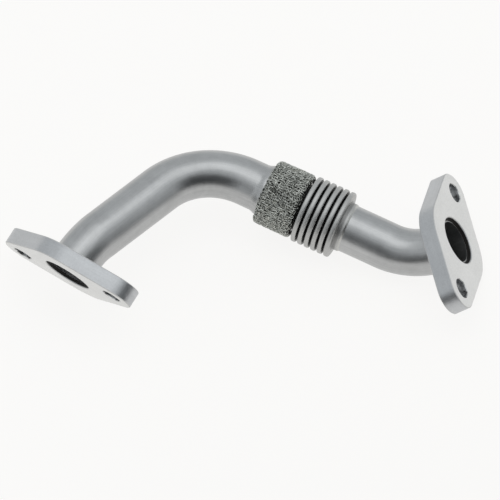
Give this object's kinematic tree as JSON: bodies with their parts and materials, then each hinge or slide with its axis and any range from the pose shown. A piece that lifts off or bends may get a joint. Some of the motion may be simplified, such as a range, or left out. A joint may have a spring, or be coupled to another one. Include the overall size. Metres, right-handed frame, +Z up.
{
  "type": "exhaust gas recirculation pipe",
  "caption": "Bent stainless exhaust gas pipe with a bellows, a knitted wire ring and a bolted flange at each end.",
  "frame": {"origin": "on the floor, under the middle of the box of the pipe as it lies at rest", "axes": "+Z up; +X from the inlet flange end to the outlet flange end; +Y away from the viewer of the picture"},
  "size_m": [0.2152, 0.0884, 0.0414],
  "materials": {
    "flange_steel": "matte, blasted",
    "tube_steel": "satin, drawn",
    "bellows_steel": "bright, rolled",
    "knitted_wire": "compressed knitted wire",
    "weld_metal": "as welded"
  },
  "bodies": {
    "root": {"inlet_flange": "flange_steel", "outlet_flange": "flange_steel", "inlet_tube": "tube_steel", "outlet_tube": "tube_steel", "bellows": "bellows_steel", "wire_ring": "knitted_wire", "inlet_port_weld": "weld_metal", "outlet_port_weld": "weld_metal", "inlet_neck_seam": "weld_metal", "outlet_neck_seam": "weld_metal"}
  },
  "joints": []
}
